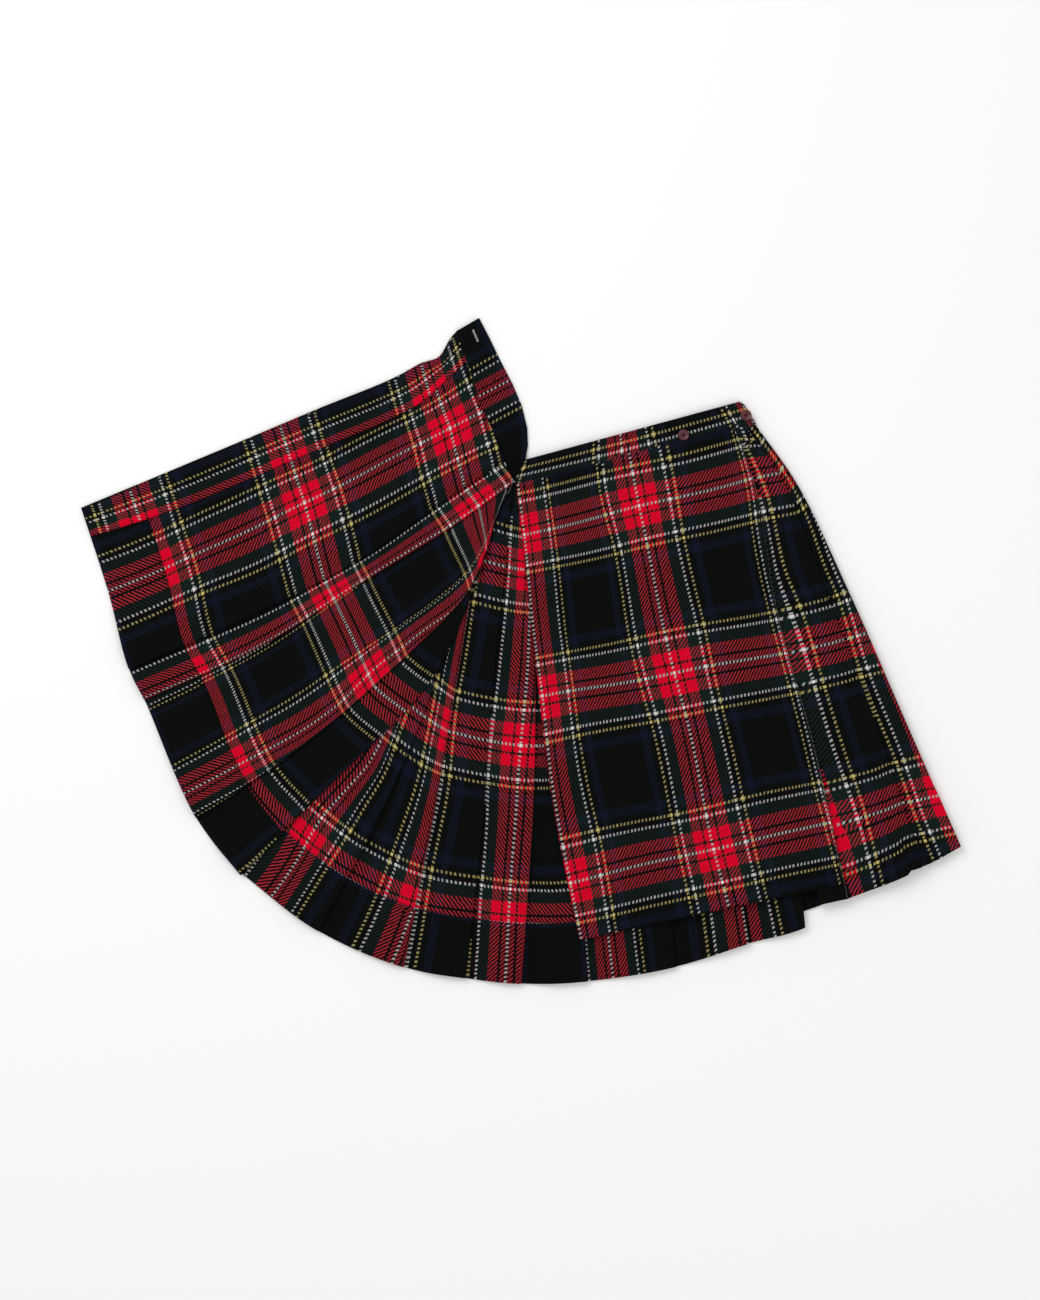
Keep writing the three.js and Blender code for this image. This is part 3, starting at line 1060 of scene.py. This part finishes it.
def buttonPiece(number, centre, turn, material, threadMaterial):
    radius = buttons["radius"]
    thick = buttons["thick"]
    profile = [
        (0.0, 0.0), (radius - 1.2, 0.0), (radius - 0.3, 0.4), (radius, 1.1), (radius - 0.1, thick - 0.5),
        (radius - 0.6, thick - 0.08), (radius - 1.2, thick), (radius - 1.9, thick - 0.25),
        (radius - 2.5, thick - 0.75), (radius - 3.4, thick - 0.95), (0.0, thick - 0.95),
    ]
    steps = 40
    shape = bmesh.new()
    rings = []
    for r, z in profile:
        if r == 0.0:
            rings.append([shape.verts.new((0, 0, z))])
        else:
            angles = [2 * math.pi * k / steps for k in range(steps)]
            rings.append([shape.verts.new((r * math.cos(a), r * math.sin(a), z)) for a in angles])
    for low, high in zip(rings, rings[1:]):
        for k in range(steps):
            n = (k + 1) % steps
            corners = [low[k % len(low)], low[n % len(low)], high[n % len(high)], high[k % len(high)]]
            shape.faces.new(list(dict.fromkeys(corners)))
    bmesh.ops.recalc_face_normals(shape, faces=shape.faces)
    mesh = bpy.data.meshes.new("button_%d_resin" % number)
    shape.to_mesh(mesh)
    shape.free()
    made = addObject("button_%d_resin" % number, mesh, material)
    holes = bmesh.new()
    spots = []
    for k in range(4):
        a = (k + 0.5) * math.pi / 2
        spots.append((buttons["holeOffset"] * math.cos(a), buttons["holeOffset"] * math.sin(a)))
        hole = buttons["holeRadius"]
        drilled = bmesh.ops.create_cone(
            holes, cap_ends=True, segments=16, radius1=hole, radius2=hole, depth=9
        )
        bmesh.ops.translate(holes, verts=drilled["verts"], vec=(spots[-1][0], spots[-1][1], 1.0))
    drillMesh = bpy.data.meshes.new("drill")
    holes.to_mesh(drillMesh)
    holes.free()
    drill = bpy.data.objects.new("drill", drillMesh)
    scene.collection.objects.link(drill)
    cut = made.modifiers.new("holes", "BOOLEAN")
    cut.operation = "DIFFERENCE"
    cut.solver = "EXACT"
    cut.object = drill
    seen = bpy.context.evaluated_depsgraph_get()
    drilledMesh = bpy.data.meshes.new_from_object(made.evaluated_get(seen))
    made.modifiers.remove(cut)
    made.data = drilledMesh
    bpy.data.objects.remove(drill)
    verts = []
    faces = []
    for a, b in ((0, 2), (1, 3)):
        (x0, y0), (x1, y1) = spots[a], spots[b]
        rise = thick - 0.6 + (0.35 if a else 0.0)
        path = [(x0, y0, 0.6), (x0, y0, rise - 0.35), (lerp(x0, x1, 0.15), lerp(y0, y1, 0.15), rise),
                (0, 0, rise + 0.1), (lerp(x0, x1, 0.85), lerp(y0, y1, 0.85), rise), (x1, y1, rise - 0.35),
                (x1, y1, 0.6)]
        addTube(verts, faces, path, buttons["threadRadius"], 8)
    threadMesh = bpy.data.meshes.new("button_%d_thread" % number)
    threadMesh.from_pydata([tuple(v) for v in verts], [], faces)
    thread = addObject("button_%d_thread" % number, threadMesh, threadMaterial)
    x, y = centre
    z = buttons["underside"] + raisedAt(x, y) + 0.25
    for each in (made, thread):
        each.scale = (mm, mm, mm)
        each.rotation_euler = (0, 0, turn)
        each.location = ((x + shift[0]) * mm, (y + shift[1]) * mm, z * mm)
    return made, thread


resin = plainMaterial("button_resin", buttons["colour"], 0.38, specular=0.5, grain=0.15, grainScale=0.4)
buttonThread = plainMaterial("button_thread", buttons["thread"], 0.8, grain=0.2, grainScale=4.0)
buttonObjects = []
for number, (centre, turn) in enumerate(zip(buttons["places"], buttons["turns"]), start=1):
    made, thread = buttonPiece(number, centre, turn, resin, buttonThread)
    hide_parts("button_%d" % number)
    buttonObjects += [made, thread]
print("buttons are made")


# Buttonhole in the over-apron's end of the band

buttonhole = {
    "ends": [(473, 330), (478, 342)],
    "halfWidth": 1.0,
    "thread": 0.42,
    "stitches": 34,
    "colour": (0.34, 0.35, 0.35),
}


def buttonholePiece():
    (x0, y0), (x1, y1) = [fromPhoto(px, py) for px, py in buttonhole["ends"]]
    length = math.hypot(x1 - x0, y1 - y0)
    ahead = np.array([(x1 - x0) / length, (y1 - y0) / length])
    side = np.array([-ahead[1], ahead[0]])
    verts = []
    faces = []
    wide = buttonhole["halfWidth"]
    for k in range(buttonhole["stitches"]):
        share = (k + 0.5) / (buttonhole["stitches"] / 2)
        edge = 1 if share < 1 else -1
        along = share % 1
        base = np.array([x0, y0]) + ahead * length * along
        near = base + side * edge * 0.25
        far = base + side * edge * (wide + 0.15 * math.sin(7.3 * k))
        z = band["thick"] + raisedAt(base[0], base[1])
        path = [(*near, z - 0.3), (*lerp(near, far, 0.1), z + 0.15), (*lerp(near, far, 0.5), z + 0.3),
                (*lerp(near, far, 0.9), z + 0.15), (*far, z - 0.3)]
        addTube(verts, faces, path, buttonhole["thread"], 6)
    mesh = bpy.data.meshes.new("buttonhole_thread")
    mesh.from_pydata(toWorld(verts), [], faces)
    material = plainMaterial("buttonhole_thread", buttonhole["colour"], 0.8, grain=0.25, grainScale=2500.0)
    return addObject("buttonhole_thread", mesh, material)


buttonholeThread = buttonholePiece()
print("buttonhole is made")


# All pieces hang from one body, root

clothPieces = [overApronPiece, backPiece, underApronPiece, facingStrip, bandCloth]
for piece in clothPieces + [buttonholeThread] + buttonObjects:
    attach(piece, "root")


# Floor, light and camera

studio = {
    "floor": (0.86, 0.86, 0.855),
    "floorReach": 4.0,
    "floorHeight": -0.0005,
    "world": (1.0, 1.0, 1.0),
    "worldStrength": 0.75,
    "keyPlace": (-1.6, 1.8, 2.6),
    "keySize": 2.0,
    "keyPower": 55.0,
    "fillPlace": (1.8, -1.2, 2.4),
    "fillSize": 2.4,
    "fillPower": 14.0,
    "lens": 85,
    "sensor": 36,
    "seenHeight": 1.625,
    "cameraOffset": 1.25,
}


def areaLight(name, place, size, power):
    light = bpy.data.lights.new(name, "AREA")
    light.size = size
    light.energy = power
    made = bpy.data.objects.new(name, light)
    scene.collection.objects.link(made)
    made.location = place
    distance = math.hypot(place[0], place[1])
    made.rotation_euler = (math.atan2(distance, place[2]), 0, math.atan2(place[1], place[0]) + math.pi / 2)


floorMesh = bpy.data.meshes.new("floor")
reachOut = studio["floorReach"]
corners = [(-reachOut, -reachOut), (reachOut, -reachOut), (reachOut, reachOut), (-reachOut, reachOut)]
floorMesh.from_pydata([(x, y, studio["floorHeight"]) for x, y in corners], [], [(0, 1, 2, 3)])
floor = bpy.data.objects.new("floor", floorMesh)
scene.collection.objects.link(floor)
floorMesh.materials.append(plainMaterial("floor_paper", studio["floor"], 0.9, specular=0.1, grain=0.004))
areaLight("key_light", studio["keyPlace"], studio["keySize"], studio["keyPower"])
areaLight("fill_light", studio["fillPlace"], studio["fillSize"], studio["fillPower"])
world = bpy.data.worlds.new("studio")
world.use_nodes = True
world.node_tree.nodes["Background"].inputs[0].default_value = colour(studio["world"])
world.node_tree.nodes["Background"].inputs[1].default_value = studio["worldStrength"]
scene.world = world

camera = bpy.data.cameras.new("camera")
camera.lens = studio["lens"]
camera.sensor_width = studio["sensor"]
camera.sensor_fit = "AUTO"
cameraObject = bpy.data.objects.new("camera", camera)
scene.collection.objects.link(cameraObject)
cameraHeight = studio["seenHeight"] * studio["lens"] / studio["sensor"]
cameraObject.location = (shift[0] * mm, (shift[1] + studio["cameraOffset"]) * mm, cameraHeight)
scene.camera = cameraObject
print("stage is set")
